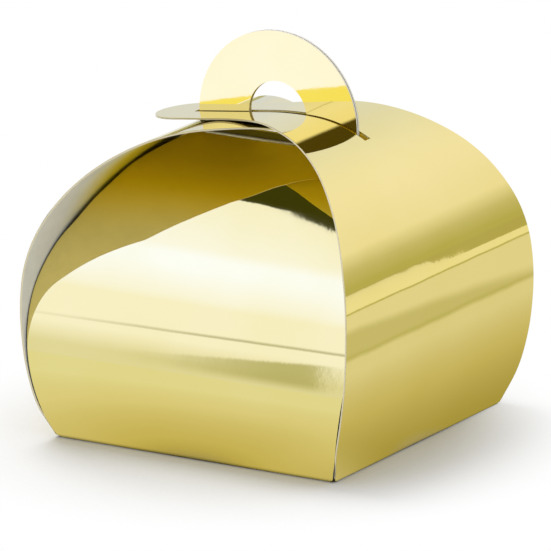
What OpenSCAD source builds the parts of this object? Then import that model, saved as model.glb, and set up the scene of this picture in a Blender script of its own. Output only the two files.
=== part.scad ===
// Favor box folded from one sheet of white board with a gold mirror film.
// Origin: centre of the bottom panel on the floor. X runs from the left petal
// to the right petal, the front flap faces -Y, Z is up. Millimetres.

/* [Sheet] */
// Thickness of the white board
board_thickness = 0.28; // [0.2:0.01:0.6]
// Thickness of the gold film on the outside
film_thickness = 0.04; // [0.02:0.01:0.1]
// Adhesive layer between film and board
adhesive_gap = 0.03; // [0.02:0.01:0.1]

/* [Bottom] */
// Side of the square bottom panel, crease to crease
base_side = 60; // [40:1:120]
// Clearance from the panel edge to the four creases
base_inset = 0.45; // [0.2:0.05:1]
// Relief nipped off the bottom corners of every wall
corner_relief = 0.6; // [0.2:0.1:2]

/* [Side petals] */
// Lean of both petals where they leave the bottom crease, degrees from the floor
petal_lean_angle = 67.5; // [50:0.5:90]
// Bend radius of both walls
wall_radius = 67; // [40:1:120]
// Angle turned by the right wall, degrees
right_wall_angle = 27; // [10:1:40]
// Bend radius of the right haunch, above the wall
haunch_radius = 36.5; // [20:0.5:80]
// Angle turned by the right haunch, degrees
haunch_angle = 25.5; // [10:0.5:40]
// Bend radius of the right shoulder
shoulder_radius = 26.7; // [15:0.1:60]
// Angle turned by the whole right shoulder bend, degrees
shoulder_angle = 57; // [30:1:70]
// Bend radius over the top of the right crown
crown_radius = 57; // [30:1:120]
// Angle turned over the top of the right crown, degrees
crown_angle = 9.8; // [2:0.1:20]
// Straight length of the right tongue
right_tongue_length = 24.2; // [10:0.1:40]
// Drop of the left crown below the right crown that lies on it
crown_drop = 1.5; // [1:0.1:5]
// Angle turned by the left wall, degrees
left_wall_angle = 26; // [10:1:40]
// Angle turned by the whole left shoulder bend, degrees
left_bend_angle = 81.5; // [50:0.5:100]
// Bend radius over the top of the left crown
left_top_radius = 75; // [40:1:120]
// Angle turned over the top of the left crown, degrees
left_top_angle = 10; // [2:1:20]
// Bend radius of the left tongue, which ducks under the right petal
left_tongue_radius = 45; // [20:1:90]
// Angle turned by the left tongue, degrees
left_tongue_angle = 22; // [5:1:40]

/* [Slits] */
// Width of the slit that takes both handles
slit_width = 1.2; // [1:0.1:3]
// Slit end beyond the handle edge on the wall side
slit_room_wall = 2.1; // [0.5:0.1:5]
// Slit end beyond the handle edge on the tongue side
slit_room_tongue = 0.8; // [0.3:0.1:3]
// Solid bridge between the slit and the shoulder strip
slit_bridge = 2; // [1:0.1:6]

/* [Flaps] */
// Lean of the front and rear flap where they leave the bottom crease
flap_lean_angle = 60; // [45:1:85]
// Bend radius of the flaps
flap_radius = 28.5; // [15:0.5:60]
// Angle turned by the flaps before they run straight to the handle crease, degrees
flap_bend_angle = 82; // [50:1:100]

/* [Handles] */
// Radius of the half round handle
handle_radius = 17; // [10:0.5:30]
// Sideways shift of the handle from the middle of the box
handle_shift = 0.4; // [0:0.1:3]
// Height of the centre of the half round above the floor
handle_centre = 57.8; // [40:0.1:90]
// Gap between the two handles that stand back to back
handle_gap = 0.2; // [0.1:0.05:1]
// Radius of the finger hole
hole_radius = 6.2; // [4:0.1:12]
// Height of the centre of the finger hole arc above the floor
hole_centre = 59.1; // [45:0.1:90]
// Solid strip left between the handle crease and the finger hole
hole_rise = 1.2; // [0.5:0.1:5]
// Play left open in the handle creases
crease_play = 0.05; // [0.02:0.01:0.2]

/* [Hidden] */
$fn = 96;

gold = [0.86, 0.70, 0.24];
white = [0.93, 0.93, 0.90];
half = base_side / 2;
sheet = film_thickness + adhesive_gap + board_thickness;
// depths of a layer below the outer face of the sheet
film = [0, film_thickness];
board = [film_thickness + adhesive_gap, sheet];
// points along each stretch of a cut outline
outline_steps = 14;
// turn between two stations of a strip that has more than one bend, degrees
bend_step_angle = 1.5;
// reach of the cutting prisms past the sheet they cut
lap = 10 * sheet;

// Half width of a side petal as a share of the half bottom side, at equal
// steps along the right petal from the crease to the tip.
petal_width_share = [1, 1.097, 1.13, 1.137, 1.133, 1.107, 1.05, 0.953, 0.833,
                     0.693, 0.56, 0.433, 0.293, 0.22, 0.213, 0.213, 0.213];
// The same for the front and rear flap, from the crease to the handle crease.
flap_width_share = [0.987, 1.04, 1.073, 1.103, 1.127, 1.14, 1.143, 1.13, 1.1,
                    1.05, 1, 0.93, 0.857, 0.727, 0.57];

// A sheet outline seen edge on is a chain of bends [radius, angle] and
// straights [0, length]. A place on it is [x, height, heading].
function seg_length(g) = g[0] == 0 ? g[1] : g[0] * g[1] * PI / 180;
function seg_point(p, g, s) = g[0] == 0
    ? [p[0] + s * cos(p[2]), p[1] + s * sin(p[2]), p[2]]
    : let (a = s * 180 / PI / g[0])
      [p[0] + g[0] * (sin(p[2] + a) - sin(p[2])),
       p[1] + g[0] * (cos(p[2]) - cos(p[2] + a)), p[2] + a];
function seg_end(p, g) = seg_point(p, g, seg_length(g));
function place(p, segs, s, i = 0) =
    i == len(segs) - 1 || s <= seg_length(segs[i])
    ? seg_point(p, segs[i], s)
    : place(seg_end(p, segs[i]), segs, s - seg_length(segs[i]), i + 1);
function state(p, segs, i) = i == 0 ? p : seg_end(state(p, segs, i - 1), segs[i - 1]);
function run_length(segs, i) = i == 0 ? 0 : run_length(segs, i - 1) + seg_length(segs[i - 1]);

// Catmull-Rom curve through an evenly spaced table, u from 0 to 1
function knot(t, i) = t[max(0, min(len(t) - 1, i))];
function smooth(t, u) =
    let (n = len(t) - 1, v = max(0, min(1, u)) * n, i = min(floor(v), n - 1), f = v - i,
         a = knot(t, i - 1), b = knot(t, i), c = knot(t, i + 1), d = knot(t, i + 2))
    (2 * b + (c - a) * f + (2 * a - 5 * b + 4 * c - d) * f * f
     + (3 * b - a - 3 * c + d) * f * f * f) / 2;

// Turn that brings a bend from place p to the mid line distance x, past upright
function turn_to(p, r, x) = 180 - asin((x - p[0]) / r + sin(p[2])) - p[2];

petal_start = [half, 0, petal_lean_angle];
// The crown strips start a bridge away from the slit
slit_reach = handle_radius + slit_room_wall + slit_bridge;
right_haunch_end = seg_end(seg_end(petal_start, [wall_radius, right_wall_angle]),
                           [haunch_radius, haunch_angle]);
right_shoulder_angle = turn_to(right_haunch_end, shoulder_radius, slit_reach + handle_shift);
right_chain = [[wall_radius, right_wall_angle], [haunch_radius, haunch_angle],
               [shoulder_radius, right_shoulder_angle],
               [shoulder_radius, shoulder_angle - right_shoulder_angle],
               [crown_radius, crown_angle], [0, right_tongue_length]];
petal_length = run_length(right_chain, len(right_chain));
right_crown_start = state(petal_start, right_chain, 4);
right_top = right_crown_start[1] + crown_radius * (1 + cos(right_crown_start[2]));
// The left shoulder is as tight as its crown has to be low
left_wall_end = seg_end(petal_start, [wall_radius, left_wall_angle]);
left_radius = (right_top - crown_drop - left_wall_end[1]) / (1 + cos(left_wall_end[2]));
left_shoulder_angle = turn_to(left_wall_end, left_radius, slit_reach - handle_shift);
left_chain = [[wall_radius, left_wall_angle], [left_radius, left_shoulder_angle],
              [left_radius, left_bend_angle - left_shoulder_angle],
              [left_top_radius, left_top_angle], [left_tongue_radius, left_tongue_angle]];

flap_start = [half, 0, flap_lean_angle];
flap_bend = [flap_radius, flap_bend_angle];
flap_knee = seg_end(flap_start, flap_bend);
handle_face = handle_gap / 2 + sheet;
flap_chain = [flap_bend, [0, (handle_face - flap_knee[0]) / cos(flap_knee[2])]];
flap_length = run_length(flap_chain, len(flap_chain));
crease_height = place(flap_start, flap_chain, flap_length)[1];

tongue_half = half * petal_width_share[len(petal_width_share) - 1];

function petal_half(s) = half * smooth(petal_width_share, s / petal_length)
    - max(0, corner_relief - max(0, s));
function flap_half(s) = half * smooth(flap_width_share, s / flap_length)
    - max(0, corner_relief - max(0, s));

// Profiles lie in X-Z and run along Y, or lie in Y-Z and run along X.
module along_y(w) rotate([90, 0, 0]) linear_extrude(w, center = true) children();
module along_x(w) rotate([90, 0, 90]) linear_extrude(w, center = true) children();

// A single bend between two depths below the outer face, as a ring sector
module bend_band(p, g, d)
    translate([p[0], p[1]] + g[0] * [-sin(p[2]), cos(p[2])]) intersection() {
        difference() {
            circle(g[0] - d[0]);
            circle(g[0] - d[1]);
        }
        polygon([[0, 0], 2 * g[0] * [sin(p[2]), -cos(p[2])],
                 2 * g[0] * [sin(p[2] + g[1]), -cos(p[2] + g[1])]]);
    }

// Segments i0 to i1 of a chain between two depths, in one outline
function depth_point(q, d) = [q[0] - d * sin(q[2]), q[1] + d * cos(q[2])];
function seg_steps(g) = g[0] == 0 ? 1 : ceil(g[1] / bend_step_angle);
function chain_stations(segs, i0, i1) = [for (i = [i0 : i1], k = [(i == i0 ? 0 : 1) : seg_steps(segs[i])])
    run_length(segs, i) + seg_length(segs[i]) * k / seg_steps(segs[i])];
module chain_band(p, segs, i0, i1, d) {
    ss = chain_stations(segs, i0, i1);
    if (i0 == i1) bend_band(state(p, segs, i0), segs[i0], d);
    else polygon(concat([for (s = ss) depth_point(place(p, segs, s), d[0])],
        [for (k = [len(ss) - 1 : -1 : 0]) depth_point(place(p, segs, ss[k]), d[1])]));
}

// Stations along the sheet for the outline of segments i0 to i1
function stations(segs, i0, i1, before, after) =
    let (s0 = run_length(segs, i0) - before, s1 = run_length(segs, i1 + 1) + after)
    [for (k = [0 : outline_steps]) s0 + (s1 - s0) * k / outline_steps];

// Steep strip of a side petal, cut to width as seen from the right
module steep_strip(segs, i0, i1, d) {
    ss = stations(segs, i0, i1, lap, lap);
    edge = [for (s = ss) [petal_half(s), place(petal_start, segs, s)[1]]];
    intersection() {
        along_y(2 * base_side) chain_band(petal_start, segs, i0, i1, d);
        translate([half, 0, 0]) along_x(base_side)
            polygon(concat(edge, [for (k = [len(edge) - 1 : -1 : 0]) [-edge[k][0], edge[k][1]]]));
    }
}

// Flat strip of a side petal, cut to width as seen from above
module flat_strip(segs, i0, i1, d, tip) {
    ss = stations(segs, i0, i1, lap, tip ? -tongue_half : lap);
    edge = [for (s = ss) [place(petal_start, segs, s)[0], petal_half(s)]];
    tip_x = place(petal_start, segs, run_length(segs, len(segs)))[0];
    intersection() {
        along_y(2 * base_side) chain_band(petal_start, segs, i0, i1, d);
        linear_extrude(2 * base_side) union() {
            polygon(concat(edge, [for (k = [len(edge) - 1 : -1 : 0]) [edge[k][0], -edge[k][1]]]));
            if (tip) translate([tip_x + tongue_half, 0]) circle(tongue_half);
        }
    }
}

// The slit for the handles: from x0 to x1 on the mid line
module slit(x0, x1)
    translate([x0, -slit_width / 2, handle_centre - handle_radius])
        cube([x1 - x0, slit_width, 2 * handle_radius]);

module right_wall(d) steep_strip(right_chain, 0, 0, d);
module right_haunch(d) steep_strip(right_chain, 1, 1, d);
module right_shoulder(d) flat_strip(right_chain, 2, 2, d, false);
module right_crown(d) difference() {
    flat_strip(right_chain, 3, 5, d, true);
    slit(handle_shift - handle_radius - slit_room_tongue,
         handle_shift + handle_radius + slit_room_wall);
}

module left_wall(d) mirror([1, 0, 0]) steep_strip(left_chain, 0, 0, d);
module left_shoulder(d) mirror([1, 0, 0]) flat_strip(left_chain, 1, 1, d, false);
module left_crown(d) difference() {
    mirror([1, 0, 0]) flat_strip(left_chain, 2, 4, d, true);
    slit(handle_shift - handle_radius - slit_room_wall,
         handle_shift + handle_radius + slit_room_tongue);
}

module finger_hole() {
    low = crease_height + hole_rise;
    translate([handle_shift, 0, 0]) along_y(2 * base_side) union() {
        translate([0, hole_centre]) circle(hole_radius);
        translate([-hole_radius, low]) square([2 * hole_radius, hole_centre - low]);
    }
}

module rear_flap(d) {
    ss = stations(flap_chain, 0, 1, lap, 0);
    edge = [for (s = ss) [flap_half(s), place(flap_start, flap_chain, s)[1]]];
    top = edge[len(edge) - 1];
    intersection() {
        along_x(2 * base_side) chain_band(flap_start, flap_chain, 0, 1, d);
        along_y(2 * base_side)
            polygon(concat(edge, [[top[0], top[1] + lap], [-top[0], top[1] + lap]],
                [for (k = [len(edge) - 1 : -1 : 0]) [-edge[k][0], edge[k][1]]]));
    }
}

// Upright handle: d counts from its outer face toward the other handle
module rear_handle(d) {
    low = crease_height + crease_play;
    intersection() {
        difference() {
            translate([handle_shift, 0, 0]) along_y(base_side) union() {
                translate([0, handle_centre]) circle(handle_radius);
                translate([-handle_radius, low])
                    square([2 * handle_radius, handle_centre - low]);
            }
            finger_hole();
        }
        translate([-base_side / 2, handle_face - d[1], low])
            cube([base_side, d[1] - d[0], 2 * handle_radius]);
    }
}

module base(d) {
    side = base_side - 2 * base_inset;
    translate([-side / 2, -side / 2, d[0]]) cube([side, side, d[1] - d[0]]);
}

color(white) base(board);  // base_board
color(gold) base(film);  // base_film
color(white) mirror([0, 1, 0]) rear_flap(board);  // front_flap_board
color(gold) mirror([0, 1, 0]) rear_flap(film);  // front_flap_film
color(white) rear_flap(board);  // rear_flap_board
color(gold) rear_flap(film);  // rear_flap_film
color(white) mirror([0, 1, 0]) rear_handle(board);  // front_handle_board
color(gold) mirror([0, 1, 0]) rear_handle(film);  // front_handle_film
color(white) rear_handle(board);  // rear_handle_board
color(gold) rear_handle(film);  // rear_handle_film
color(white) left_wall(board);  // left_wall_board
color(gold) left_wall(film);  // left_wall_film
color(white) left_shoulder(board);  // left_shoulder_board
color(gold) left_shoulder(film);  // left_shoulder_film
color(white) left_crown(board);  // left_crown_board
color(gold) left_crown(film);  // left_crown_film
color(white) right_wall(board);  // right_wall_board
color(gold) right_wall(film);  // right_wall_film
color(white) right_haunch(board);  // right_haunch_board
color(gold) right_haunch(film);  // right_haunch_film
color(white) right_shoulder(board);  // right_shoulder_board
color(gold) right_shoulder(film);  // right_shoulder_film
color(white) right_crown(board);  // right_crown_board
color(gold) right_crown(film);  // right_crown_film
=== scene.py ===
# %% [markdown]
# A favor box is one die-cut sheet of white card with a gold mirror film on its outside.
# It has no glue and no fasteners: four curved panels rise from a square bottom, two of them end in
# half round handles, and the other two close over the handles with slits. It could be made as one closed
# shape and coloured gold, but its open sides and cut edges would be wrong. So this lesson cuts each panel
# as a flat blank, bends it as the real card is bent, and sets it in a white studio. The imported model
# gives the frame that every piece is placed in.

# %% Load the fixed frame
import math
from collections import namedtuple

import bmesh
import bpy
import numpy as np
from mathutils import Matrix, Vector


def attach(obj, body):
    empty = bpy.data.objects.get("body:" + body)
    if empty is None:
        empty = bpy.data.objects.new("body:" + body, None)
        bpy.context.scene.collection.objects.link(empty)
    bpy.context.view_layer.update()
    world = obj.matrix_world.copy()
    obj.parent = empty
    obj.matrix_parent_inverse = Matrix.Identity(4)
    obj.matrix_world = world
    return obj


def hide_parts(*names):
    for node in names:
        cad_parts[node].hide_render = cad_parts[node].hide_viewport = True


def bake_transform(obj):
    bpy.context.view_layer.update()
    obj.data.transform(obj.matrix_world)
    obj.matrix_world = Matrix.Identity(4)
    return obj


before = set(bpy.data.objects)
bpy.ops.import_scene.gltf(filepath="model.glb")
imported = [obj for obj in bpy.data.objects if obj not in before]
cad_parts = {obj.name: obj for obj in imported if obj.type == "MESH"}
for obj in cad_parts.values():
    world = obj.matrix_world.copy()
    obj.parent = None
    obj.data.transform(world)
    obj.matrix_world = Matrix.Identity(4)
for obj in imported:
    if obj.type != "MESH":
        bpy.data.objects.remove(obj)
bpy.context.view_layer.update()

# %% [markdown]
# The photograph was taken with a long lens from the front right, a little above the box. A camera could
# be aimed by hand, but one with the same angle, distance and lens keeps every proportion comparable, so
# it is made first. Its matrix is built from three directions: right, up, and back toward the viewer.

# %% Camera
VIEW_AZIMUTH, VIEW_ELEVATION, VIEW_ROLL = map(math.radians, (31.37, 15.45, -0.39))
VIEW_PLACE = (0.9034, -1.4827, 0.5078)
VIEW_LENS, VIEW_SENSOR, VIEW_LIMIT = 634.17, 36, 20

back = Vector((math.sin(VIEW_AZIMUTH) * math.cos(VIEW_ELEVATION),
               -math.cos(VIEW_AZIMUTH) * math.cos(VIEW_ELEVATION), math.sin(VIEW_ELEVATION)))
level = Vector((math.cos(VIEW_AZIMUTH), math.sin(VIEW_AZIMUTH), 0))
upright = back.cross(level)
right = math.cos(VIEW_ROLL) * level + math.sin(VIEW_ROLL) * upright
up = -math.sin(VIEW_ROLL) * level + math.cos(VIEW_ROLL) * upright
camera_data = bpy.data.cameras.new("photo_camera")
camera_data.lens = VIEW_LENS
camera_data.sensor_width = VIEW_SENSOR
camera_data.clip_end = VIEW_LIMIT
camera = bpy.data.objects.new("photo_camera", camera_data)
camera.matrix_world = Matrix((
    (right.x, up.x, back.x, VIEW_PLACE[0]), (right.y, up.y, back.y, VIEW_PLACE[1]),
    (right.z, up.z, back.z, VIEW_PLACE[2]), (0, 0, 0, 1)))
bpy.context.collection.objects.link(camera)
bpy.context.scene.camera = camera
print("camera looks along", [round(-v, 3) for v in back])

# %% [markdown]
# Finishes are patterns, and a pattern reads best as a formula. Signal wraps a node's output so that
# plus, minus, times and divide add their own Math nodes. Bench holds a node tree, and its one method
# node() makes any other node from its type, its settings, and the values or links of its sockets. The
# methods below it are short names for what comes back most: a soft rise, fall or band over a value, a
# mix of two colours, a ramp, and the three parts of a vector.

# %% A signal that can be reckoned with
class Signal:
    def __init__(self, bench, socket):
        self.bench, self.socket = bench, socket

    def to(self, operation, *others):
        values = dict(enumerate((self,) + others))
        return self.bench.node("ShaderNodeMath", {"operation": operation}, values)

    def __add__(self, other):
        return self.to("ADD", other)

    def __sub__(self, other):
        return self.to("SUBTRACT", other)

    def __mul__(self, other):
        return self.to("MULTIPLY", other)

    def __truediv__(self, other):
        return self.to("DIVIDE", other)

    def __neg__(self):
        return self.to("MULTIPLY", -1.0)

    def __rsub__(self, other):
        return (-self).to("ADD", other)

    __radd__ = __add__


# %% A bench that makes nodes
MIX_SHARE, MIX_BELOW, MIX_ABOVE, MIX_RESULT = "Factor", 6, 7, 2
OPAQUE = (1,)


class Bench:
    def __init__(self, tree):
        self.tree = tree

    def set_socket(self, socket, value):
        if isinstance(value, Signal):
            self.tree.links.new(value.socket, socket)
        elif socket.type == "RGBA":
            socket.default_value = tuple(value) + OPAQUE
        else:
            socket.default_value = value

    def make(self, kind, settings=(), sockets=()):
        made = self.tree.nodes.new(kind)
        for name, value in dict(settings).items():
            if name == "stops":
                ramp = made.color_ramp.elements
                while len(ramp) < len(value):
                    ramp.new(0.5)
                for stop, (place, colour) in zip(ramp, value):
                    stop.position = place
                    stop.color = tuple(colour) + OPAQUE
            else:
                setattr(made, name, value)
        for name, value in dict(sockets).items():
            self.set_socket(made.inputs[name], value)
        return made

    def node(self, kind, settings=(), sockets=(), out=0):
        return Signal(self, self.make(kind, settings, sockets).outputs[out])

    def rise(self, value, edge):
        """0 below a soft edge and 1 above it; the edge is the two values where the step starts and ends."""
        return self.node("ShaderNodeMapRange", {"interpolation_type": "SMOOTHSTEP"},
                         {"Value": value, "From Min": edge[0], "From Max": edge[1]})

    def fall(self, value, edge):
        return 1 - self.rise(value, edge)

    def band(self, value, low_edge, high_edge):
        return self.rise(value, low_edge) * self.fall(value, high_edge)

    def mix(self, share, below, above):
        return self.node("ShaderNodeMix", {"data_type": "RGBA"},
                         {MIX_SHARE: share, MIX_BELOW: below, MIX_ABOVE: above}, out=MIX_RESULT)

    def ramp(self, place, stops):
        return self.node("ShaderNodeValToRGB", {"stops": stops}, {0: place})

    def parts(self, vector):
        apart = self.make("ShaderNodeSeparateXYZ", (), {0: vector})
        return [Signal(self, socket) for socket in apart.outputs]


# %% [markdown]
# The box itself is described by few sizes. They are the solid model's, but for the flaps, which the
# photograph shows a little fuller. Each panel is seen edge on as a run of bends, and its width is a table
# of shares, read with a smooth curve. Every outline could be drawn point by point, but a table of shares
# follows the box when its side changes. Lengths are in metres, and the angles of bends in degrees.

# %% Named sizes
MM = 0.001
FILM, ADHESIVE, CARD = 0.04 * MM, 0.03 * MM, 0.28 * MM
SHEET = FILM + ADHESIVE + CARD
FILM_DEPTHS, BOARD_DEPTHS = (0.0, FILM), (FILM + ADHESIVE, SHEET)
HALF_SIDE, CORNER_RELIEF = 30 * MM, 0.6 * MM
PETAL_LEAN, FLAP_LEAN = 67.5, 59.5
RIGHT_BENDS = ((67 * MM, 27.0), (36.5 * MM, 25.5), (26.7 * MM, 57.0), (57 * MM, 9.8))
RIGHT_TONGUE, CROWN_DROP = 24.2 * MM, 1.5 * MM
LEFT_WALL_BEND, LEFT_SHOULDER_ANGLE = (67 * MM, 26.0), 81.5
LEFT_CROWN_BENDS = ((75 * MM, 10.0), (45 * MM, 22.0))
FLAP_BENDS = ((27.5 * MM, 66.9), (48.7 * MM, 12.0), (282 * MM, 2.2), (78 * MM, 4.4))
HANDLE_GAP = 0.2 * MM
HANDLE_FACE = HANDLE_GAP / 2 + SHEET
PETAL_WIDTH_SHARE = (1, 1.097, 1.13, 1.137, 1.133, 1.107, 1.05, 0.953, 0.833,
                     0.693, 0.56, 0.433, 0.293, 0.22, 0.213, 0.213, 0.213)
FLAP_WIDTH_SHARE = (0.99, 1.042, 1.082, 1.114, 1.137, 1.150, 1.152, 1.137, 1.105,
                    1.05, 1, 0.93, 0.857, 0.727, 0.57)


def read_table(table, share):
    """Value of an evenly spaced table at a share of its length, on a Catmull-Rom curve."""
    steps = len(table) - 1
    at = max(0.0, min(1.0, share)) * steps
    cell = min(int(at), steps - 1)
    f = at - cell
    a, b, c, d = (table[max(0, min(steps, cell + k))] for k in (-1, 0, 1, 2))
    return (2 * b + (c - a) * f + (2 * a - 5 * b + 4 * c - d) * f * f
            + (3 * b - a - 3 * c + d) * f ** 3) / 2


print("sheet", round(SHEET / MM, 2), "mm thick, bottom", 2 * HALF_SIDE / MM, "mm square")

# %% [markdown]
# A bent panel seen edge on is a chain: a start on the bottom crease, a lean, and bends that follow each
# other without a kink. Fold answers where the sheet is, and which way it heads, at any distance along
# it. The same rule is built as nodes later; this copy places joints, slits and normals. The left petal
# lies under the right one, so its shoulder is as tight as its crown has to be low.

# %% The fold seen edge on
HALVINGS = 60
REACH_FROM, REACH_PAST = 0.3, 60 * MM


class Fold:
    def __init__(self, start, lean, bends, height=0.0):
        self.start, self.height, self.lean, self.bends = start, height, math.radians(lean), bends
        self.length = sum(r * math.radians(a) for r, a in bends)

    def at(self, s):
        """Place, height and heading at a distance along the sheet."""
        x, z, h, left = self.start, self.height, self.lean, s
        for radius, angle in self.bends:
            run = max(0.0, min(left, radius * math.radians(angle)))
            x += radius * (math.sin(h + run / radius) - math.sin(h))
            z += radius * (math.cos(h) - math.cos(h + run / radius))
            h += run / radius
            left -= run
        return x + left * math.cos(h), z + left * math.sin(h), h

    def reach(self, x):
        """Distance along the sheet at which it has come back to a place over the bottom."""
        low, high = self.length * REACH_FROM, self.length + REACH_PAST
        for _ in range(HALVINGS):
            middle = (low + high) / 2
            low, high = (middle, high) if self.at(middle)[0] > x else (low, middle)
        return low

    def top(self):
        """Height at which the last bend lies level."""
        radius, angle = self.bends[-1]
        _, z, h = self.at(self.length - radius * math.radians(angle))
        return z + radius * (1 + math.cos(h))


right_fold = Fold(HALF_SIDE, PETAL_LEAN, RIGHT_BENDS)
left_wall_fold = Fold(HALF_SIDE, PETAL_LEAN, (LEFT_WALL_BEND,))
_, left_wall_top, left_wall_heading = left_wall_fold.at(left_wall_fold.length)
left_radius = (right_fold.top() - CROWN_DROP - left_wall_top) / (1 + math.cos(left_wall_heading))
left_fold = Fold(HALF_SIDE, PETAL_LEAN,
                 (LEFT_WALL_BEND, (left_radius, LEFT_SHOULDER_ANGLE)) + LEFT_CROWN_BENDS)
flap_fold = Fold(HALF_SIDE, FLAP_LEAN, FLAP_BENDS)
petal_length = right_fold.length + RIGHT_TONGUE
flap_end = flap_fold.reach(HANDLE_FACE)
crease_height = flap_fold.at(flap_end)[1]
print("petal length", round(petal_length / MM, 2), "flap length", round(flap_end / MM, 2),
      "handle crease at", round(crease_height / MM, 2), "left shoulder radius", round(left_radius / MM, 4))


def petal_half(s):
    return HALF_SIDE * read_table(PETAL_WIDTH_SHARE, s / petal_length) - max(0.0, CORNER_RELIEF - s)


def flap_half(s):
    return HALF_SIDE * read_table(FLAP_WIDTH_SHARE, s / flap_end) - max(0.0, CORNER_RELIEF - s)


# %% [markdown]
# The die cuts every panel flat. A blank could be a flat face with a Solidify modifier, but a slit and its
# cut edges come out cleaner when the plate is closed by hand. It is written in three numbers: the
# distance along the sheet, the place across it, and the depth below its outer face. Rows of points
# follow the outline, and a slit is a column of cells that is left out, a little wider than in the solid
# model, as the photograph shows it. The thickness is real, so every cut edge shows the card.

# %% Cut a flat blank
SLIT_HALF = 0.95 * MM
NARROWEST = 1.3 * SLIT_HALF
ROW_STEP, CLOSEST_ROWS = 0.5 * MM, 0.2


def closed_plate(name, points, cells, depths):
    """Plate between two depths from points (s, w) and cells of point numbers."""
    count = len(points)
    vertices = [(s, w, d) for d in depths for s, w in points]
    faces = [tuple(cell) for cell in cells] + [tuple(count + i for i in reversed(cell)) for cell in cells]
    edges = {}
    for cell in cells:
        for a, b in zip(cell, cell[1:] + cell[:1]):
            edges[frozenset((a, b))] = None if frozenset((a, b)) in edges else (a, b)
    faces += [(b, a, a + count, b + count) for a, b in filter(None, edges.values())]
    mesh = bpy.data.meshes.new(name)
    mesh.from_pydata(vertices, [], faces)
    shell = bmesh.new()
    shell.from_mesh(mesh)
    bmesh.ops.recalc_face_normals(shell, faces=shell.faces)
    shell.to_mesh(mesh)
    shell.free()
    return mesh


def strip_blank(name, rows, half_width, depths, slit=None, across=8):
    """Strip with a row of points at each station; slit is (first station, last station)."""
    shares = np.linspace(0, 1, across)
    points = []
    for s in rows:
        edge = max(half_width(s), NARROWEST)
        side = [SLIT_HALF + (edge - SLIT_HALF) * t for t in shares]
        points += [(s, -w) for w in reversed(side)] + [(s, w) for w in side]
    wide, cells = 2 * across, []
    for k in range(len(rows) - 1):
        middle = (rows[k] + rows[k + 1]) / 2
        for j in range(wide - 1):
            if slit and j == across - 1 and slit[0] < middle < slit[1]:
                continue
            a = k * wide + j
            cells.append([a, a + 1, a + 1 + wide, a + wide])
    return closed_plate(name, points, cells, depths)


def stations(first, last, step, extra=()):
    """Even rows from first to last, with extra ones that push out a row too close to them."""
    rows = list(np.linspace(first, last, max(2, int(math.ceil((last - first) / step)) + 1)))
    rows = [s for s in rows if all(abs(s - e) > CLOSEST_ROWS * step for e in extra)]
    return sorted(rows + [e for e in extra if first < e < last])


print("a flap's blank has", len(stations(0.0, flap_end, ROW_STEP)), "rows")

# %% [markdown]
# A handle is a half round plate on a straight neck with an arched finger hole. A Boolean could cut the
# hole, but it leaves thin faces that a mirror shows. Rays from the middle of the hole meet the hole and
# the outline once each, so rings of cells between the two make a clean plate.

# %% Cut a handle blank
HANDLE_RADIUS, HANDLE_SHIFT, HANDLE_CENTRE = 17 * MM, 0.4 * MM, 57.8 * MM
HOLE_RADIUS, HOLE_CENTRE, HOLE_RISE = 6.2 * MM, 59.1 * MM, 1.2 * MM
CREASE_PLAY = 0.05 * MM
HANDLE_RINGS, HANDLE_RAYS = 4, 180
RAY_REACH, EYE_LIFT = 100 * MM, 0.5 * MM


def ray_out(eye, angle, foot, spring, radius):
    """How far a ray from the eye runs inside an arch: straight from foot to spring, round above."""
    low, high = 0.0, RAY_REACH
    for _ in range(HALVINGS):
        middle = (low + high) / 2
        s, w = eye + middle * math.sin(angle), middle * math.cos(angle)
        inside = s >= foot and (s <= spring and abs(w) <= radius or math.hypot(s - spring, w) <= radius)
        low, high = (middle, high) if inside else (low, middle)
    return low


def handle_blank(name, depths, shift):
    low = crease_height + CREASE_PLAY
    plate = (0, HANDLE_CENTRE - low, HANDLE_RADIUS)
    hole = (HOLE_RISE - CREASE_PLAY, HOLE_CENTRE - low, HOLE_RADIUS)
    eye = (hole[0] + hole[1]) / 2 + EYE_LIFT
    corners = [math.atan2(s - eye, side * radius) % (2 * math.pi) for side in (-1, 1)
               for foot, spring, radius in (plate, hole) for s in (foot, spring)]
    even = np.linspace(0, 2 * math.pi, HANDLE_RAYS, endpoint=False)
    turns = sorted(set(round(a, 6) for a in list(even) + corners))
    points = []
    for a in turns:
        near, far = ray_out(eye, a, *hole), ray_out(eye, a, *plate)
        for k in range(HANDLE_RINGS):
            reach = near + (far - near) * k / (HANDLE_RINGS - 1)
            points.append((eye + reach * math.sin(a), shift + reach * math.cos(a)))
    cells = []
    for i in range(len(turns)):
        for k in range(HANDLE_RINGS - 1):
            a = i * HANDLE_RINGS + k
            b = (i + 1) % len(turns) * HANDLE_RINGS + k
            cells.append([a, b, b + 1, a + 1])
    return closed_plate(name, points, cells, depths)


print("a handle's blank stands", round((HANDLE_CENTRE + HANDLE_RADIUS - crease_height) / MM, 1), "mm high")

# %% [markdown]
# Bending is a rule, so Geometry Nodes do it. The tree takes a flat blank and lays it along its chain of
# bends: each bend adds its own arc, as far as the point has run into it. A Simple Deform modifier bends
# too, but with one radius only. The sizes of the bends are named inputs, so any panel of the box comes
# out of this one tree, and a Set Material ends it.

# %% The bending tree
MOST_BENDS = 4
NO_BEND = (1.0, 0.0)


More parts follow.
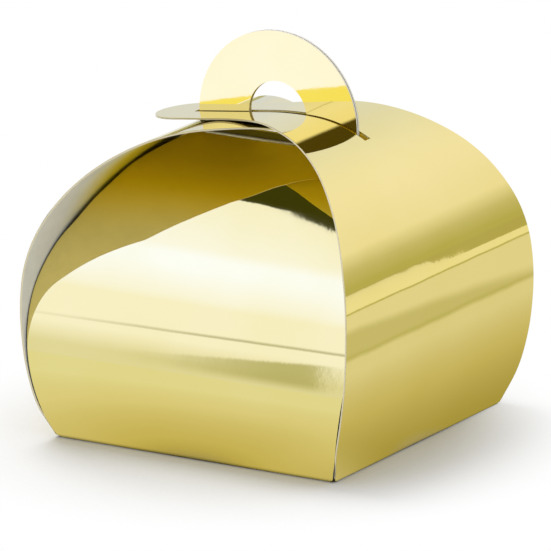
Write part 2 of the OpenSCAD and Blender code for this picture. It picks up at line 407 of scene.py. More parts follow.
def bending_tree():
    tree = bpy.data.node_groups.new("bend_a_blank", "GeometryNodeTree")
    bench = Bench(tree)
    tree.interface.new_socket("Geometry", in_out="INPUT", socket_type="NodeSocketGeometry")
    names = ["Start distance", "Start height", "Lean", "Turn"]
    names += [f"{word} {k + 1}" for k in range(MOST_BENDS) for word in ("Radius", "Angle")]
    for name in names:
        tree.interface.new_socket(name, in_out="INPUT", socket_type="NodeSocketFloat")
    tree.interface.new_socket("Finish", in_out="INPUT", socket_type="NodeSocketMaterial")
    tree.interface.new_socket("Geometry", in_out="OUTPUT", socket_type="NodeSocketGeometry")
    entry = tree.nodes.new("NodeGroupInput")
    given = {name: Signal(bench, entry.outputs[name]) for name in ["Geometry", "Finish"] + names}
    along, across, depth = bench.parts(bench.node("GeometryNodeInputPosition"))
    x, z, heading, left = given["Start distance"], given["Start height"], given["Lean"], along
    for k in range(MOST_BENDS):
        radius, angle = given[f"Radius {k + 1}"], given[f"Angle {k + 1}"]
        run = left.to("MINIMUM", radius * angle).to("MAXIMUM", 0.0)
        ahead = heading + run / radius
        x = x + radius * (ahead.to("SINE") - heading.to("SINE"))
        z = z + radius * (heading.to("COSINE") - ahead.to("COSINE"))
        heading, left = ahead, left - run
    x = x + left * heading.to("COSINE") - depth * heading.to("SINE")
    z = z + left * heading.to("SINE") + depth * heading.to("COSINE")
    place = bench.node("ShaderNodeCombineXYZ", (), {0: x, 1: across, 2: z})
    turned = bench.node("ShaderNodeVectorRotate", {"rotation_type": "Z_AXIS"},
                        {"Vector": place, "Angle": given["Turn"]})
    bent = bench.node("GeometryNodeSetPosition", (), {"Geometry": given["Geometry"], "Position": turned})
    real = bench.node("GeometryNodeRealizeInstances", (), {0: bent})
    dressed = bench.node("GeometryNodeSetMaterial", (), {"Geometry": real, "Material": given["Finish"]})
    leave = tree.nodes.new("NodeGroupOutput")
    tree.links.new(dressed.socket, leave.inputs["Geometry"])
    return tree


bend_a_blank = bending_tree()
print("bending tree:", len(bend_a_blank.nodes), "nodes")

# %% [markdown]
# The tree's result becomes a plain mesh. A mirror finish shows every facet, and Shade Smooth alone would
# average the normals over a cut edge. So the true normals of the fold are written on the mesh: across a
# face they turn as the sheet does, and neighbouring pieces of one petal share them, so that no seam
# shows where the petal is split over its joints.

# %% Bend a blank into a piece
BROAD_FACE = 0.8


def fold_normals(mesh, outward):
    """The fold's own normal at each corner of the broad faces, and the face's own on a cut edge."""
    normals = []
    for polygon in mesh.polygons:
        polygon.use_smooth = True
        face = np.array(polygon.normal)
        for loop in polygon.loop_indices:
            own = outward[mesh.loops[loop].vertex_index]
            facing = float(own @ face)
            broad = abs(facing) > BROAD_FACE
            normals.append(tuple(own * math.copysign(1, facing)) if broad else tuple(face))
    return normals


def bend(blank, fold, turn, finish):
    item = bpy.data.objects.new(blank.name, blank)
    bpy.context.collection.objects.link(item)
    flat = np.array([v.co for v in blank.vertices])
    modifier = item.modifiers.new("bend", "NODES")
    modifier.node_group = bend_a_blank
    values = {"Start distance": fold.start, "Start height": fold.height, "Lean": fold.lean, "Turn": turn,
              "Finish": finish}
    bends = list(fold.bends) + [NO_BEND] * (MOST_BENDS - len(fold.bends))
    for k, (radius, angle) in enumerate(bends):
        values[f"Radius {k + 1}"], values[f"Angle {k + 1}"] = radius, math.radians(angle)
    for socket in bend_a_blank.interface.items_tree:
        if socket.name in values:
            modifier[socket.identifier] = values[socket.name]
    bpy.context.view_layer.update()
    bent = bpy.data.meshes.new_from_object(item.evaluated_get(bpy.context.evaluated_depsgraph_get()))
    bent.name = blank.name
    item.modifiers.remove(modifier)
    item.data = bent
    heading = np.array([fold.at(s)[2] for s in flat[:, 0]])
    sideways = np.sin(heading)
    outward = np.stack([sideways * math.cos(turn), sideways * math.sin(turn), -np.cos(heading)], 1)
    bent.normals_split_custom_set(fold_normals(bent, outward))
    return item


def join(name, items):
    with bpy.context.temp_override(active_object=items[0], selected_editable_objects=items,
                                   selected_objects=items, object=items[0]):
        bpy.ops.object.join()
    items[0].name = items[0].data.name = name
    return items[0]


# %% [markdown]
# The film is metal under a thin clear lacquer. A plain metal of one roughness would do for a ball, but
# face on the real film mirrors the studio in gold, and at a low angle the lacquer adds a white sheen, so
# the coat matters as much as the metal. It lies on card, whose fibres print through: a fine orange peel
# breaks up sharp reflections, and slower waves bend them. Finger marks change the roughness a little.
# The bottom, flaps and handles lie smooth, and the petals are wavier, so there are two films. The smooth
# one has a band at the height where the handles are creased: rougher, without lacquer, and darkened with
# painted shade. In a tight crevice the film has nothing bright to mirror, so Ambient Occlusion finds those
# places and paints shade there. The patterns run on Object coordinates, so they stay on the box when it
# moves.

# %% Gold mirror film
# A pattern is its noise's scale, detail and roughness
PEEL, FIBRE, WAVES, SAG = (1000.0, 2.0, 0.55), (3400.0, 1.0, 0.5), (120.0, 1.0, 0.4), (38.0, 1.0, 0.4)
FIBRE_STRETCH, FIBRE_SHARE = (1.0, 1.0, 0.25), 0.15
RELIEF = 0.0016 * MM
MARKS, MARKS_EDGE, MARKS_SHARE = (90.0, 4.0, 0.6), (0.45, 0.75), 0.6
GOLD_CLOUDS, GOLD_EDGE = (55.0, 3.0, 0.5), (0.35, 0.7)
GOLD_DEEP, GOLD_PALE = (0.93, 0.775, 0.245), (0.94, 0.79, 0.265)
LACQUER, LACQUER_ROUGHNESS, LACQUER_IOR = 0.35, 0.03, 1.5
CREASE_RISE, CREASE_FALL = (53.5 * MM, 54.2 * MM), (56.8 * MM, 57.4 * MM)
# The crease band is rougher, and its tint is painted shade
CREASE_ROUGHNESS, CREASE_PAINTED_SHADE = 0.45, (0.10, 0.072, 0.004)
# Painted shade for the film in tight crevices, found by occlusion
CREVICE_REACH, CREVICE_EDGE, CREVICE_PAINTED_SHADE = 1.6 * MM, (0.20, 0.55), (0.035, 0.026, 0.004)


def clear_bench(owner):
    """An empty bench for a material or a world."""
    owner.use_nodes = True
    owner.node_tree.nodes.clear()
    return Bench(owner.node_tree)


def new_material(name):
    material = bpy.data.materials.new(name)
    return material, clear_bench(material)


def close_material(bench, surface):
    bench.make("ShaderNodeOutputMaterial", (), {"Surface": surface})


def noise(bench, where, pattern):
    scale, detail, roughness = pattern
    return bench.node("ShaderNodeTexNoise", {"noise_dimensions": "3D"},
                      {"Vector": where, "Scale": scale, "Detail": detail, "Roughness": roughness})


def openness(bench, reach):
    """1 where nothing stands near within the reach, toward 0 in a corner."""
    return bench.node("ShaderNodeAmbientOcclusion", {"samples": 8}, {"Distance": reach}, out="AO")


def film_relief(bench, where, grain, waves, sag):
    """Height of the film, as a sum of four patterns about zero."""
    run = bench.node("ShaderNodeMapping", (), {"Vector": where, "Scale": FIBRE_STRETCH})
    peel, fibre = noise(bench, where, PEEL) - 0.5, noise(bench, run, FIBRE) - 0.5
    wave, droop = noise(bench, where, WAVES) - 0.5, noise(bench, where, SAG) - 0.5
    return peel * grain + fibre * (grain * FIBRE_SHARE) + wave * waves + droop * sag


def gold_film_material(name, polish, grain, waves, sag, creased=False):
    material, bench = new_material(name)
    where = bench.node("ShaderNodeTexCoord", out="Object")
    relief = film_relief(bench, where, grain, waves, sag)
    bump = bench.node("ShaderNodeBump", (), {"Height": relief, "Distance": RELIEF, "Strength": 1.0})
    marks = bench.rise(noise(bench, where, MARKS), MARKS_EDGE)
    rough = polish + marks * (polish * MARKS_SHARE)
    pale = bench.rise(noise(bench, where, GOLD_CLOUDS), GOLD_EDGE)
    tint, coat = bench.mix(pale, GOLD_DEEP, GOLD_PALE), LACQUER
    if creased:
        # Painted shade: the band at the handles' crease is darkened, besides being rougher and without
        # lacquer
        dull_shaded_band = bench.band(bench.parts(where)[2], CREASE_RISE, CREASE_FALL)
        rough, coat = rough + dull_shaded_band * CREASE_ROUGHNESS, LACQUER - dull_shaded_band * LACQUER
        tint = bench.mix(dull_shaded_band, tint, CREASE_PAINTED_SHADE)
    # Painted shade: the film goes dark, and loses its lacquer, in tight crevices
    crevice_shade = bench.fall(openness(bench, CREVICE_REACH), CREVICE_EDGE)
    film = bench.node("ShaderNodeBsdfPrincipled", (), {
        "Base Color": bench.mix(crevice_shade, tint, CREVICE_PAINTED_SHADE), "Metallic": 1.0, "Roughness": rough,
        "Normal": bump, "Coat Weight": (1 - crevice_shade) * coat, "Coat Roughness": LACQUER_ROUGHNESS,
        "Coat IOR": LACQUER_IOR})
    close_material(bench, film)
    return material


STRAIGHT_GOLD = gold_film_material("gold_film_straight", polish=0.016, grain=0.26, waves=2.0, sag=6.0,
                                   creased=True)
WAVY_GOLD = gold_film_material("gold_film_wavy", polish=0.032, grain=0.9, waves=14.0, sag=60.0)
print("gold films:", STRAIGHT_GOLD.name, WAVY_GOLD.name)

# %% [markdown]
# Inside, and on every cut edge, the sheet is plain white card: matte, a little grey and warm, with a fine
# felt of fibres. Two noises make it: a small one for the fibres and a broad one for the cloudy colour.
# The gold of the flaps throws its colour up on the white inside of the roof. Caustics would give it, but
# they are slow and noisy and the exported piece would lose them, so the glow is painted light: a ramp from
# the middle line outward, kept to the closed part of the roof by occlusion. The same occlusion paints shade
# into the corners that light hardly reaches, and board faces that face front or back, the petals' cut
# edges among them, get a painted cream glow of the gold's light beside them.

# %% White board
FELT, CLOUDS, CLOUDS_EDGE = (5200.0, 3.0, 0.6), (240.0, 3.0, 0.6), (0.25, 0.8)
FELT_TINT, FELT_ROUGHNESS, FELT_RELIEF = 0.5, 0.2, 0.012 * MM
BOARD_GREY, BOARD_WHITE = (0.86, 0.86, 0.82), (0.92, 0.92, 0.88)
BOARD_ROUGHNESS, BOARD_SPECULAR = 0.72, 0.3
# Painted light: a cream glow of gold light on board faces that face front or back
RIM_EDGE, RIM_SHARE, RIM_PAINTED_GOLD_LIGHT = (0.6, 0.8), 0.8, (0.82, 0.72, 0.44)
ROOM_REACH, NOOK_REACH = 80 * MM, 1.4 * MM
# Painted light: the gold glow on the inside of the roof
GLOW_SHUT, GLOW_RISE, GLOW_SIDE = (0.35, 0.6), (20 * MM, 40 * MM), (12 * MM, 25 * MM)
GLOW_DRIFT, GLOW_DRIFT_SHARE = (-12 * MM, 10 * MM), 0.2
GLOW_TINTS = ((0.20, (0.60, 0.46, 0.008)), (0.40, (0.78, 0.61, 0.010)), (0.57, (0.93, 0.76, 0.030)),
              (0.75, (0.94, 0.86, 0.200)))
# Painted shade in low shut corners and in narrow nooks
CORNER_SHUT, CORNER_HEIGHT = (0.06, 0.18), (36 * MM, 46 * MM)
NOOK_EDGE, NOOK_HEIGHT, NOOK_RELIEF = (0.35, 0.70), (34 * MM, 44 * MM), 0.8
PAINTED_SHADE_TINT = (0.02, 0.017, 0.008)


def white_board_material():
    material, bench = new_material("white_board")
    where = bench.node("ShaderNodeTexCoord", out="Object")
    felt = noise(bench, where, FELT)
    cloudy = noise(bench, where, CLOUDS) + (felt - 0.5) * FELT_TINT
    tint = bench.mix(bench.rise(cloudy, CLOUDS_EDGE), BOARD_GREY, BOARD_WHITE)
    x, y, z = bench.parts(where)
    aside = y.to("ABSOLUTE")
    facing = bench.parts(bench.node("ShaderNodeNewGeometry", out="Normal"))[1].to("ABSOLUTE")
    # Painted light: board faces that face front or back take a cream glow of the gold's light
    tint = bench.mix(bench.rise(facing, RIM_EDGE) * RIM_SHARE, tint, RIM_PAINTED_GOLD_LIGHT)
    room, nook = openness(bench, ROOM_REACH), openness(bench, NOOK_REACH)
    # Painted light: a gold glow on the shut inside of the roof, from its middle line outward
    painted_gold_glow = bench.fall(room, GLOW_SHUT) * bench.rise(z, GLOW_RISE)
    painted_gold_glow = painted_gold_glow * bench.fall(aside, GLOW_SIDE)
    outward = aside / HALF_SIDE + bench.rise(x, GLOW_DRIFT) * GLOW_DRIFT_SHARE
    tint = bench.mix(painted_gold_glow, tint, bench.ramp(outward, GLOW_TINTS))
    # Painted shade: low shut corners and narrow nooks go dark
    corner_shade = bench.fall(room, CORNER_SHUT) * bench.fall(z, CORNER_HEIGHT)
    nook_shade = bench.fall(nook, NOOK_EDGE)
    nook_shade = nook_shade * (1 - bench.rise(z, NOOK_HEIGHT) * NOOK_RELIEF)
    tint = bench.mix((1 - nook_shade) * (1 - corner_shade), PAINTED_SHADE_TINT, tint)
    bump = bench.node("ShaderNodeBump", (), {"Height": felt, "Distance": FELT_RELIEF, "Strength": 1.0})
    board = bench.node("ShaderNodeBsdfPrincipled", (), {
        "Base Color": tint, "Roughness": BOARD_ROUGHNESS + (felt - 0.5) * FELT_ROUGHNESS, "Normal": bump,
        "Specular IOR Level": BOARD_SPECULAR})
    close_material(bench, board)
    return material


BOARD = white_board_material()
print("board:", BOARD.name)

# %% [markdown]
# Every panel is made twice, once for the film and once for the board, because the real sheet is a
# laminate of the two and its cut edge shows both. One plate with two materials would look the same, but
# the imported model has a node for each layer, and each piece here replaces its own. A layer holds what the
# panels need to know of it.

# %% Layers of the sheet
Layer = namedtuple("Layer", "word depths finish slot")


def layers(gold):
    return (Layer("film", FILM_DEPTHS, gold, "gold_film"),
            Layer("board", BOARD_DEPTHS, BOARD, "white_board"))


STRAIGHT_LAYERS, WAVY_LAYERS = layers(STRAIGHT_GOLD), layers(WAVY_GOLD)
print("layers:", [layer.word for layer in WAVY_LAYERS])

# %% [markdown]
# The bottom panel is square and flat, and the sheet turns up at its four creases. A Bevel modifier could
# round a folded corner, but here a crease is bent by the same tree as every panel, so the sheet keeps
# its thickness round it. The front, rear and left creases never move here, so they are part of the
# bottom's piece. The right crease is a piece of its own, between the bottom and the right wall.

# %% Bottom panel and creases
TURNS = {"right": 0.0, "rear": math.pi / 2, "left": math.pi, "front": -math.pi / 2}
BASE_INSET = 0.45 * MM
CREASE_RADIUS, CREASE_END, CREASE_ROWS = 0.5 * MM, 0.4 * MM, 13
FLAT_STEP, FLAT_ACROSS = 6 * MM, 4
LONG_RADIUS = 1.0


def crease_strip(name, side, lean, half, layer):
    """A short lead, bent by next to nothing, and then the bend of the crease."""
    tangent = CREASE_RADIUS * math.tan(math.radians(lean) / 2)
    lead = BASE_INSET - tangent
    fold = Fold(HALF_SIDE - BASE_INSET, 0.0,
                ((LONG_RADIUS, math.degrees(lead / LONG_RADIUS)), (CREASE_RADIUS, lean)))
    rows = [0.0] + list(np.linspace(lead, fold.length, CREASE_ROWS)) + [fold.length + CREASE_END - tangent]
    blank = strip_blank(name, rows, lambda s: half, layer.depths, across=FLAT_ACROSS)
    return bend(blank, fold, TURNS[side], layer.finish)


for layer in STRAIGHT_LAYERS:
    span = 2 * (HALF_SIDE - BASE_INSET)
    plate = strip_blank("bottom", stations(0.0, span, FLAT_STEP), lambda s: span / 2, layer.depths,
                        across=FLAT_ACROSS)
    panel = bend(plate, Fold(-span / 2, 0.0, (NO_BEND,)), 0.0, layer.finish)
    strips = [crease_strip("crease", "left", PETAL_LEAN, petal_half(0), layer)]
    strips += [crease_strip("crease", side, FLAP_LEAN, flap_half(0), layer) for side in ("front", "rear")]
    bottom = join(f"bottom_{layer.word}", [panel] + strips)
    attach(bottom, "bottom_and_flaps")
    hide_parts(f"base_{layer.word}")
    crease = crease_strip(f"right_crease_{layer.word}", "right", PETAL_LEAN, petal_half(0), layer)
    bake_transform(crease)
    print(bottom.name, len(bottom.data.polygons), "faces;", crease.name, len(crease.data.polygons), "faces")

# %% [markdown]
# The front and rear flaps rise from the bottom, curve over, and run nearly straight to the handle crease.
# Their outline swells and narrows like a tulip, and they close the box under the arches of the petals.
# They could be mirrored, but a mirror turns a mesh inside out, so each is bent in its own direction.

# %% Flaps
for side in ("front", "rear"):
    for layer in STRAIGHT_LAYERS:
        rows = stations(CREASE_END, flap_end, ROW_STEP)
        blank = strip_blank(f"{side}_flap_{layer.word}", rows, flap_half, layer.depths)
        flap = bend(blank, flap_fold, TURNS[side], layer.finish)
        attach(flap, "bottom_and_flaps")
        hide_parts(f"{side}_flap_{layer.word}")
        print(flap.name, len(flap.data.polygons), "faces")

# %% [markdown]
# The handles stand back to back, upright on the flaps, and pass through both slits. On the real sheet
# each is the end of its flap. It could be cut in one piece with it, but it rocks in the slits on its own
# crease, so it is a piece by itself, cut flat, and needs no bend, only its place above the crease.

# %% Handles
UPRIGHT = 90.0
handle_fold = Fold(HANDLE_FACE, UPRIGHT, (NO_BEND,), crease_height + CREASE_PLAY)
for side, sign in (("front", 1), ("rear", -1)):
    for layer in STRAIGHT_LAYERS:
        blank = handle_blank(f"{side}_handle_{layer.word}", layer.depths, sign * HANDLE_SHIFT)
        handle = bend(blank, handle_fold, TURNS[side], layer.finish)
        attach(handle, "handles")
        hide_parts(f"{side}_handle_{layer.word}")
        print(handle.name, len(handle.data.polygons), "faces")

# %% [markdown]
# The left petal curves up, over and down again, so that its round tongue ducks under the right petal.
# It is one panel from crease to tip, and its slit lies on the middle line over the handles. The slit
# could be cut after bending, but on the flat blank it is only a run of cells left out, whose ends are
# found where the bent petal passes over the handle's edges.

# %% Left petal
SLIT_ROOM_WALL, SLIT_ROOM_TONGUE = 2.1 * MM, 0.8 * MM
TONGUE_HALF = HALF_SIDE * PETAL_WIDTH_SHARE[-1]
TIP_START, TIP_END = 0.1 * MM, 0.004 * MM
TIP_ANGLES = range(0, 84, 6)


def with_round_tip(half_width, tip):
    """The same half width, closed by a half circle at the tip."""
    def half(s):
        past = s - (tip - TONGUE_HALF)
        return half_width(s) if past <= 0 else math.sqrt(max(0.0, TONGUE_HALF ** 2 - past ** 2))
    return half


def tip_rows(tip):
    """Rows round the half circle, closer together toward the tip."""
    turned = [tip - TONGUE_HALF + TONGUE_HALF * math.sin(math.radians(a)) for a in TIP_ANGLES]
    return turned + [tip - TIP_END]


def slit_of(fold, room_wall, room_tongue, shift):
    """First and last place of the slit along the sheet, from the places of the handle's edges."""
    return (fold.reach(HANDLE_RADIUS + room_wall + shift), fold.reach(-HANDLE_RADIUS - room_tongue + shift))


left_tip = left_fold.length
left_slit = slit_of(left_fold, SLIT_ROOM_WALL, SLIT_ROOM_TONGUE, -HANDLE_SHIFT)
left_rows = stations(CREASE_END, left_tip - TONGUE_HALF - TIP_START, ROW_STEP, left_slit)
left_rows = sorted(set(left_rows + tip_rows(left_tip)))
for layer in WAVY_LAYERS:
    blank = strip_blank(f"left_petal_{layer.word}", left_rows, with_round_tip(petal_half, left_tip),
                        layer.depths, left_slit)
    petal = bend(blank, left_fold, TURNS["left"], layer.finish)
    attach(petal, "bottom_and_flaps")
    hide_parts(*(f"left_{part}_{layer.word}" for part in ("wall", "shoulder", "crown")))
    print(petal.name, len(petal.data.polygons), "faces, slit", [round(s / MM, 1) for s in left_slit])

# %% [markdown]
# The right petal lies on top and is the one that opens. The real panel bends all along. One mesh can be
# blended between two bodies only, so it is cut here into three lengths in the middle of its rigid
# strips, and each length bends across one joint.

# %% Right petal
SLIT_BRIDGE = 2 * MM
wall_end, haunch_run = (radius * math.radians(angle) for radius, angle in RIGHT_BENDS[:2])
haunch_end = wall_end + haunch_run
crown_start = right_fold.reach(HANDLE_RADIUS + SLIT_ROOM_WALL + SLIT_BRIDGE + HANDLE_SHIFT)
right_slit = slit_of(right_fold, SLIT_ROOM_WALL, SLIT_ROOM_TONGUE, HANDLE_SHIFT)
cuts = [CREASE_END, (wall_end + haunch_end) / 2, (haunch_end + crown_start) / 2, petal_length]
Length = namedtuple("Length", "name bodies joint spread nodes")
lengths = (Length("right_lower", ("right_wall", "right_haunch"), wall_end, 6 * MM, ("right_wall",)),
           Length("right_middle", ("right_haunch", "right_shoulder"), haunch_end, 5 * MM,
                  ("right_haunch",)),
           Length("right_top", ("right_shoulder", "right_crown"), crown_start, 5 * MM,
                  ("right_shoulder", "right_crown")))
for part, first, end in zip(lengths, cuts, cuts[1:]):
    if part is lengths[-1]:
        rows = stations(first, end - (TONGUE_HALF + TIP_START), ROW_STEP, right_slit)
        rows, slit = sorted(set(rows + tip_rows(petal_length))), right_slit
    else:
        rows, slit = stations(first, end, ROW_STEP), None
    before, after = (right_fold.at(part.joint + way * part.spread) for way in (-1, 1))
    for layer in WAVY_LAYERS:
        blank = strip_blank(f"{part.name}_{layer.word}", rows, with_round_tip(petal_half, petal_length),
                            layer.depths, slit)
        length = bend(blank, right_fold, TURNS["right"], layer.finish)
        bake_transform(length)
        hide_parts(*(f"{node}_{layer.word}" for node in part.nodes))
        print(length.name, len(length.data.polygons), "faces, joint at",
              [round(v / MM, 2) for v in right_fold.at(part.joint)[:2]])

# %% [markdown]
# A gold mirror has no colour of its own to speak of: it shows the studio. Real walls and lamps round the
# box would be slow and noisy, and would light it too, so the studio is drawn in the world as a
# photographer sets it. A big white wall of light stands at the front left and a softer, warmer one
# behind, and each runs through a few plain tones from the horizon to overhead. Light loses its blue on
# dark card and warm wood, so the dim tones are a little warm and the bright ones a little cool.

# %% Walls of light
LIGHT = 3.3
# Painted shade: SHADE and the third tone in this row serve only as the box's shadow on the mirrored table,
# the third warmed by painted gold light
SHADE, DIM, GOLD_LIT_SHADE, WARM = (0.40, 0.35, 0.10), (0.50, 0.50, 0.25), (0.60, 0.55, 0.30), (0.60, 0.60, 0.45)
PALE, GREY, COOL_GREY = (0.75, 0.75, 0.70), (0.80, 0.80, 0.80), (0.80, 0.85, 0.95)
MILKY, SOFT, LOW = (0.90, 0.90, 0.85), (0.90, 0.90, 1.00), (0.80, 0.85, 1.10)
COOL, OVERHEAD = (0.95, 0.95, 1.20), (1.05, 1.10, 1.40)
CLEAR, BRIGHT, FULL = (1.00, 1.10, 2.00), (1.10, 1.20, 2.50), (1.05, 1.25, 3.20)
FRONT_LEFT, WALLS_MEET = (-0.52, -0.85), (-0.45, 0.0)
FRONT_WALL = ((-0.17, BRIGHT), (-0.13, LOW), (0.06, LOW), (0.30, CLEAR), (0.65, CLEAR), (0.80, FULL),
              (0.83, FULL), (0.86, CLEAR))
REAR_WALL = ((0.02, DIM), (0.10, WARM), (0.20, SOFT), (0.42, COOL), (1.0, OVERHEAD))


def below_one(colour):
    """A colour brighter than white, as a part of the world's strength."""
    return tuple(v / LIGHT for v in colour)


def wall_of_light(bench, height, stops):
    """Colours at heights from -1 to 1."""
    return bench.ramp(height * 0.5 + 0.5, [((h + 1) / 2, below_one(colour)) for h, colour in stops])


def toward(x, y, way):
    """How far a place or a direction lies toward a way on the floor plan."""
    return x * way[0] + y * way[1]


print("walls of light have", len(FRONT_WALL), "and", len(REAR_WALL), "heights")

# %% [markdown]
# Five things are drawn on the walls, because a mirror shows each as a line or a patch: the plain wall at
# the rear left, the end of a shelf, a thin slanted lip, a short dark patch overhead, which is painted shade
# that the gold mirrors in place of the shade under the crown, and a dark stand at the front. Each could be
# an object in the room, but on the walls it needs only a tint and soft edges. An edge is given as the two
# values of a direction of length 1 between which the thing comes or goes.

# %% Things on the walls
REAR_LEFT_EDGE, REAR_LEFT_SHARE, REAR_LEFT_TINT = (-0.45, 0.35), 0.85, (0.74, 0.80, 1.00)
SHELF_FOOT, SHELF_SLANT, SHELF_TOP = (-0.08, 0.05), (-0.507, 10.0), (0.150, 0.185)
SHELF_LEFT, SHELF_RIGHT = (-0.516, -0.499), (-0.4975, -0.4945)
SHELF_SHARE, SHELF_TINT = 0.9, (0.50, 0.53, 0.46)
LIP_SLANT, LIP_RISE, LIP_FALL = (-0.522, 2.2), (0.338, 0.354), (0.358, 0.385)
LIP_BRIGHT_EDGE, LIP_SHARE, LIP_LEAST_SHARE = (-0.524, -0.504), 0.7, 0.15
LIP_TINT = (0.52, 0.56, 0.75)
GAP_WAY, GAP_RISE, GAP_FALL = (4.4, 1.0), (-2.3035, -2.3010), (-2.165, -2.15)
# Painted shade: a dark patch overhead that the gold mirrors in place of the shade under the crown
GAP_NEAR, GAP_FAR, GAP_HEIGHT, GAP_PAINTED_SHADE = (-0.30, -0.26), (0.06, 0.10), (0.5, 0.6), (0.045, 0.05, 0.008)
STAND_LEFT, STAND_RIGHT, STAND_FRONT = (-0.33, -0.29), (-0.14, -0.10), (0.70, 0.76)
STAND_FOOT, STAND_TOP, STAND_TINT = (0.30, 0.38), (0.60, 0.66), (0.08, 0.07, 0.02)


def over_slant(x, z, slant):
    """How high a direction lies over a slanted line, given by its start and its slope."""
    start, slope = slant
    return z - (x - start) * slope


def studio_walls(bench, x, y, z):
    front = bench.rise(toward(x, y, FRONT_LEFT), WALLS_MEET)
    seen = bench.mix(front, wall_of_light(bench, z, REAR_WALL), wall_of_light(bench, z, FRONT_WALL))
    rear_left = (1 - front) * bench.fall(x, REAR_LEFT_EDGE)
    shelf = bench.rise(z, SHELF_FOOT) * bench.band(x, SHELF_LEFT, SHELF_RIGHT)
    shelf = shelf * bench.fall(over_slant(x, z, SHELF_SLANT), SHELF_TOP)
    lip = bench.band(over_slant(x, z, LIP_SLANT), LIP_RISE, LIP_FALL)
    lip = lip * (bench.rise(x, LIP_BRIGHT_EDGE) * LIP_SHARE + LIP_LEAST_SHARE)
    # Painted shade: the dark patch overhead
    gap = bench.band(toward(x, y, GAP_WAY), GAP_RISE, GAP_FALL) * bench.band(y, GAP_NEAR, GAP_FAR)
    gap = gap * bench.rise(z, GAP_HEIGHT)
    stand = bench.band(x, STAND_LEFT, STAND_RIGHT) * bench.band(z, STAND_FOOT, STAND_TOP)
    stand = stand * bench.rise(-y, STAND_FRONT)
    for share, tint in ((rear_left * REAR_LEFT_SHARE, REAR_LEFT_TINT),
                        (shelf * front * SHELF_SHARE, SHELF_TINT), (lip * front, LIP_TINT),
                        (gap, GAP_PAINTED_SHADE), (stand, STAND_TINT)):
        seen = bench.mix(share, seen, below_one(tint))
    return seen


print("the gap between the lights is", round(GAP_FAR[1] - GAP_NEAR[0], 2), "long on a sphere of radius 1")

# %% [markdown]
# Only a mirror has to see the drawn studio. Light Path tells the rays apart: the camera gets plain white,
# a ray that a mirror sends out gets the studio, and light that a matte surface gathers is plain and soft.
# A gold panel that lights the card next to it would otherwise sparkle, so a reflection seen by such a
# matte surface gets plain light too, and less of it.

# %% The studio around the box
SOFT_LIGHT, SOFT_LIGHT_LESS = 0.70, 0.32
WHITE = (1, 1, 1)


def ray_facts(bench, *names):
    path = bench.make("ShaderNodeLightPath")
    return [Signal(bench, path.outputs[name]) for name in names]


def choose(bench, share, one, other):
    """One shader, and the other as the share goes to 1."""
    return bench.node("ShaderNodeMixShader", (), {0: share, 1: one, 2: other})


def background(bench, colour, strength):
    return bench.node("ShaderNodeBackground", (), {"Color": colour, "Strength": strength})


def studio_world():
    world = bpy.data.worlds.new("white_studio")
    bench = clear_bench(world)
    x, y, z = bench.parts(bench.node("ShaderNodeTexCoord", out="Generated"))
    studio = background(bench, studio_walls(bench, x, y, z), LIGHT)
    camera_ray, glossy_ray, bounces = ray_facts(bench, "Is Camera Ray", "Is Glossy Ray", "Diffuse Depth")
    gathered = bounces.to("MINIMUM", 1.0) * glossy_ray
    soft = background(bench, WHITE, SOFT_LIGHT - gathered * SOFT_LIGHT_LESS)
    lit = choose(bench, glossy_ray - gathered, soft, studio)
    shown = choose(bench, camera_ray, lit, background(bench, WHITE, 1.0))
    bench.make("ShaderNodeOutputWorld", (), {"Surface": shown})
    bpy.context.scene.world = world
    return world


print("world:", studio_world().name)

# %% [markdown]
# The floor is pale and matte, so the box darkens it where it stands. Farther out it fades to plain white
# for the camera, round a point a little in front of the box. A real table with cards on it would need
# lights of its own, so for reflections the floor has a table top drawn in ramps: the box's painted shadow
# next to it, warmed by painted gold light, slow light and dark bands behind, paler ones at the front left,
# the dim room past the table's far sides, and a warm strip along its front left edge. Past that edge it
# lets the reflection through to the studio.

# %% The table that the gold mirrors
# Painted shadow: the tones nearest the box are its shadow on the table, warmed by painted gold light
REAR_TABLE = ((0.030, SHADE), (0.044, GOLD_LIT_SHADE), (0.065, PALE), (0.0745, PALE), (0.0752, DIM), (0.0775, DIM),
              (0.0790, WARM))
FAR_TABLE = ((0.174, GREY), (0.180, DIM), (0.188, DIM), (0.192, MILKY), (0.95, GREY))
FRONT_TABLE = ((0.028, SHADE), (0.034, GOLD_LIT_SHADE), (0.055, PALE), (0.090, COOL_GREY))
TABLE_SQUEEZE, FAR_START, FRONT_START = 0.7, (0.128, 0.158), (-0.01, 0.02)
SIDE_WAY, SIDE_EDGE, SIDE_START = (-0.8232, 0.5677), (-0.0142, -0.0128), (0.50, 0.52)
ROOM_START, ROOM_TINT = (0.9, 1.6), (0.48, 0.47, 0.24)
EDGE_WAY, EDGE_STRIP, EDGE_END = (-0.807, -0.590), (0.2125, 0.2140), (0.2270, 0.2280)
STRIP_TRAVEL, STRIP_START, STRIP_TINT = (0.224, 0.230), (-0.2260, -0.2225), (1.0, 0.95, 0.38)


def glow(bench, colour):
    """A colour that shows as it is written, whatever the light."""
    return bench.node("ShaderNodeEmission", (), {"Color": colour, "Strength": 1.0})


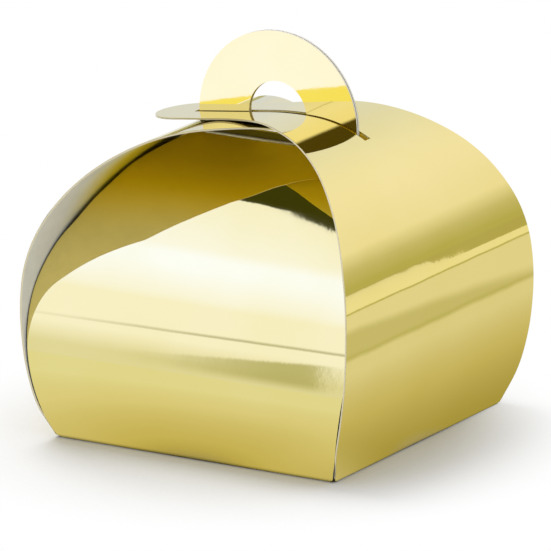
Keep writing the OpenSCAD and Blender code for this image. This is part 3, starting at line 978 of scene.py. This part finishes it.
def mirrored_table(bench, x, y, away, travel):
    """The table top as an emission, and nothing past its front left edge."""
    out = x.to("ABSOLUTE").to("MAXIMUM", y.to("ABSOLUTE") * TABLE_SQUEEZE)
    seen = bench.mix(bench.rise(away, FAR_START), bench.ramp(out, REAR_TABLE),
                     bench.ramp(out, FAR_TABLE))
    side = bench.rise(toward(x, y, SIDE_WAY), SIDE_EDGE) * bench.rise(away, SIDE_START)
    seen = bench.mix(side.to("MAXIMUM", bench.rise(out, ROOM_START)), seen, ROOM_TINT)
    front = bench.rise(toward(x, y, FRONT_LEFT), FRONT_START)
    seen = bench.mix(front, seen, bench.ramp(away, FRONT_TABLE))
    outward = toward(x, y, EDGE_WAY)
    strip = bench.rise(outward, EDGE_STRIP) * bench.rise(travel, STRIP_TRAVEL)
    strip = strip * bench.rise(y, STRIP_START)
    seen = bench.mix(strip, seen, STRIP_TINT)
    clear = bench.node("ShaderNodeBsdfTransparent")
    return choose(bench, bench.rise(outward, EDGE_END), glow(bench, seen), clear)


print("the mirrored table ends", EDGE_END[0] / MM, "mm from the box's middle")

# %% Floor
FLOOR_GRAIN, FLOOR_GREY, FLOOR_WHITE = (900.0, 2.0, 0.5), (0.88, 0.88, 0.88), (0.92, 0.92, 0.92)
FADE_SHIFT, FADE_EDGE = (0, 10 * MM, 0), (33 * MM, 66 * MM)
TABLE_START, FLOOR_RADIUS, FLOOR_SIDES = (29 * MM, 33 * MM), 4.0, 96


def floor_material():
    material, bench = new_material("pale_floor")
    where = bench.node("ShaderNodeTexCoord", out="Object")
    x, y, _ = bench.parts(where)
    shifted = bench.node("ShaderNodeVectorMath", {"operation": "ADD"}, {0: where, 1: FADE_SHIFT})
    away, far = (bench.node("ShaderNodeVectorMath", {"operation": "LENGTH"}, {0: spot}, out="Value")
                 for spot in (where, shifted))
    camera_ray, glossy_ray, travel = ray_facts(bench, "Is Camera Ray", "Is Glossy Ray", "Ray Length")
    matte = bench.node("ShaderNodeBsdfDiffuse", (), {
        "Color": bench.mix(noise(bench, where, FLOOR_GRAIN), FLOOR_GREY, FLOOR_WHITE)})
    faded = choose(bench, camera_ray * bench.rise(far, FADE_EDGE), matte, glow(bench, WHITE))
    shown = choose(bench, glossy_ray * bench.rise(away, TABLE_START), faded,
                   mirrored_table(bench, x, y, away, travel))
    close_material(bench, shown)
    return material


def floor():
    rim = bmesh.new()
    bmesh.ops.create_circle(rim, cap_ends=True, cap_tris=False, segments=FLOOR_SIDES, radius=FLOOR_RADIUS)
    mesh = bpy.data.meshes.new("studio_floor")
    rim.to_mesh(mesh)
    rim.free()
    plane = bpy.data.objects.new("studio_floor", mesh)
    mesh.materials.append(floor_material())
    bpy.context.collection.objects.link(plane)
    return plane


print("stage:", floor().name)

# %% [markdown]
# One large lamp from the upper left, a little behind the box, gives the soft shadow its direction. A sun
# would give a hard one. Its power is kept low, so that the card and the floor stay below white, and
# mirrors don't see it, because they see the drawn studio.

# %% Lamp
KEY_PLACE, KEY_SIZE, KEY_POWER = (-0.56, 0.24, 1.05), 0.7, 6.9


def area_lamp(name, place, size, power):
    light = bpy.data.lights.new(name, "AREA")
    light.shape = "SQUARE"
    light.size = size
    light.energy = power
    lamp = bpy.data.objects.new(name, light)
    lamp.location = place
    lamp.rotation_euler = (-Vector(place)).to_track_quat("-Z", "Y").to_euler()
    lamp.visible_glossy = False
    bpy.context.collection.objects.link(lamp)
    return lamp


print("lamp:", area_lamp("key_softbox", KEY_PLACE, KEY_SIZE, KEY_POWER).name)

# %% [markdown]
# Last, the view settings stay plain. A filmic view would flatter the highlights, but with Standard a
# colour shows as it is written.

# %% Finish
bpy.context.scene.view_settings.view_transform = "Standard"
